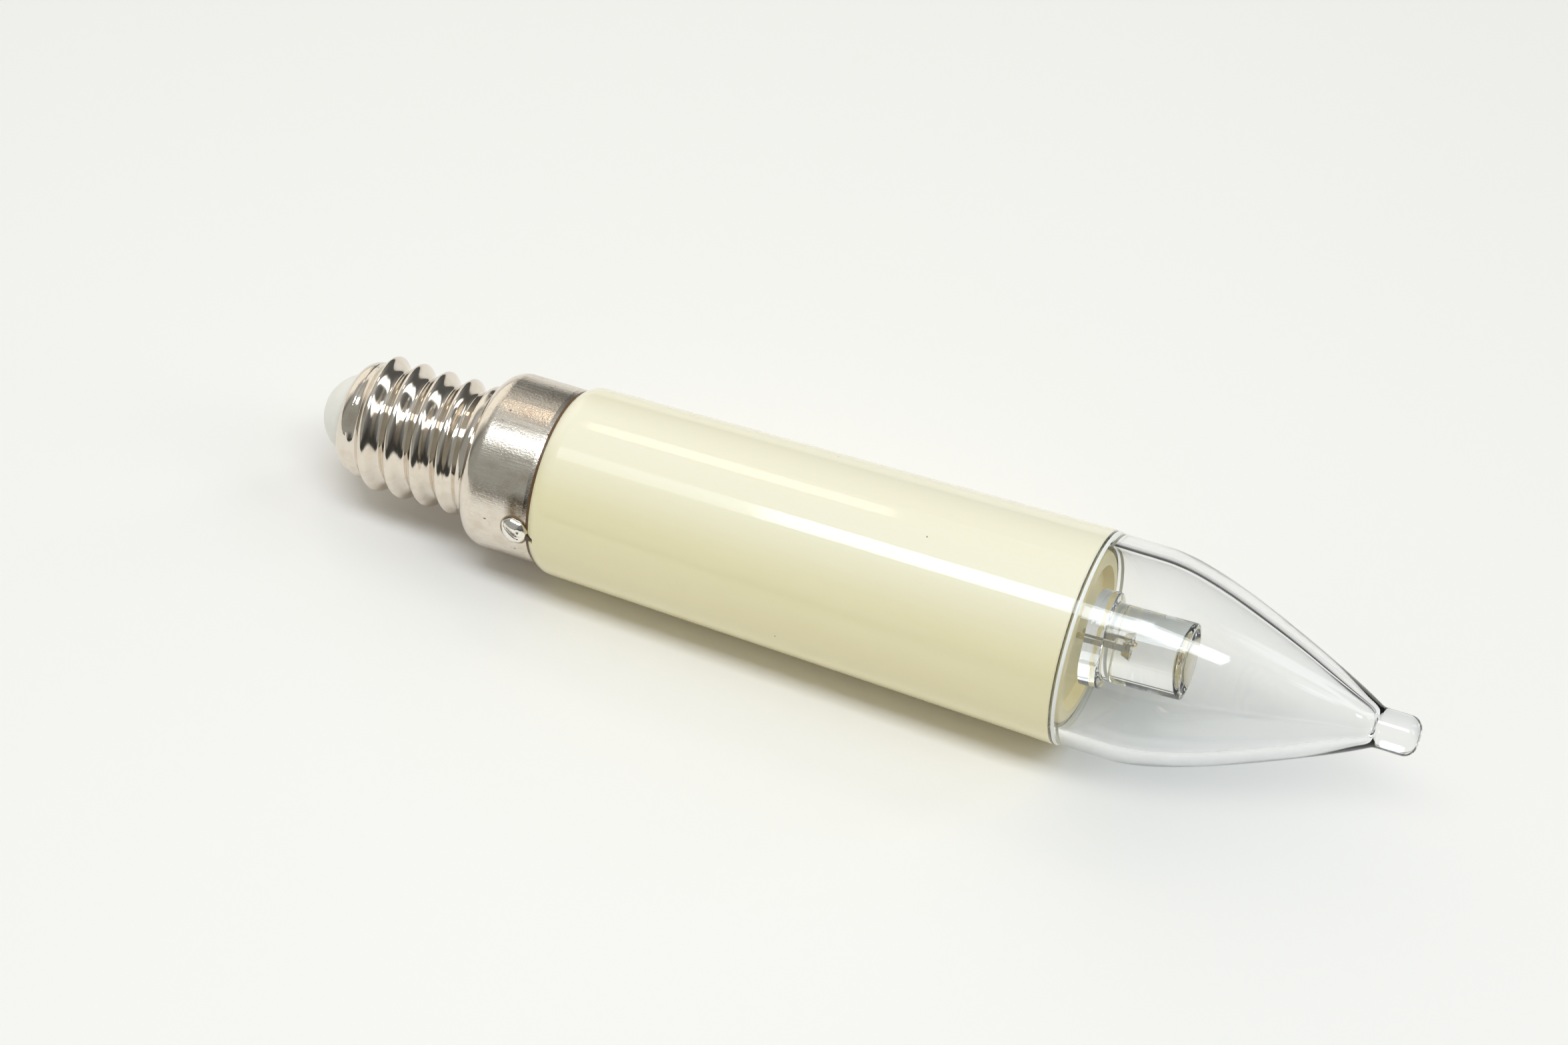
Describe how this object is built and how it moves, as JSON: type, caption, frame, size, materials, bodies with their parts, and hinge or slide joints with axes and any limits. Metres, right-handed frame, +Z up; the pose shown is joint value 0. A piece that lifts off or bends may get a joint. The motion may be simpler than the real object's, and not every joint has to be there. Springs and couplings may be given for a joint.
{
  "type": "led light bulb",
  "caption": "Candle-shaped LED bulb: small screw cap, tapered cream sleeve, clear flame-shaped cover with a solid nib and a clear LED inside.",
  "frame": {"origin": "centre of the cap collar's edge, on the bulb's axis, where the lamp holder ends", "axes": "+X along the bulb's axis towards the flame's tip, +Z up as the bulb lies on a table"},
  "size_m": [0.1146, 0.0216, 0.0216],
  "materials": {
    "plated_shell": "nickel plated, brushed on the collar",
    "milky_plastic": "milky white, translucent",
    "contact_brass": "plain",
    "solder": "bright tin solder",
    "cement": "brown cement",
    "cream_plastic": "glossy cream",
    "clear_plastic": "clear, polished",
    "holder_plastic": "satin cream",
    "clear_epoxy": "clear",
    "tinned_lead": "tinned",
    "phosphor": "orange phosphor on the die",
    "bond_gold": "fine gold wire",
    "board": "bare brown laminate",
    "film_box": "red box",
    "can": "dark film over aluminium",
    "black_epoxy": "moulded",
    "copper_wire": "tinned copper"
  },
  "bodies": {
    "root": {"screw_shell": "plated_shell", "cap_insulator": "milky_plastic", "centre_contact": "contact_brass", "contact_solder": "solder", "side_solder": "solder", "cement_ring": "cement", "candle_sleeve": "cream_plastic", "flame_cover": "clear_plastic", "led_holder": "holder_plastic", "led_lens": "clear_epoxy", "led_anode_lead": "tinned_lead", "led_cathode_lead": "tinned_lead", "led_chip": "phosphor", "led_bond_wire": "bond_gold", "circuit_board": "board", "film_capacitor": "film_box", "smoothing_capacitor": "can", "bridge_rectifier": "black_epoxy", "bleed_resistor": "black_epoxy", "series_resistor": "black_epoxy", "board_solder": "solder", "live_wire": "copper_wire", "neutral_wire": "copper_wire", "led_positive_wire": "copper_wire", "led_negative_wire": "copper_wire"}
  },
  "joints": []
}
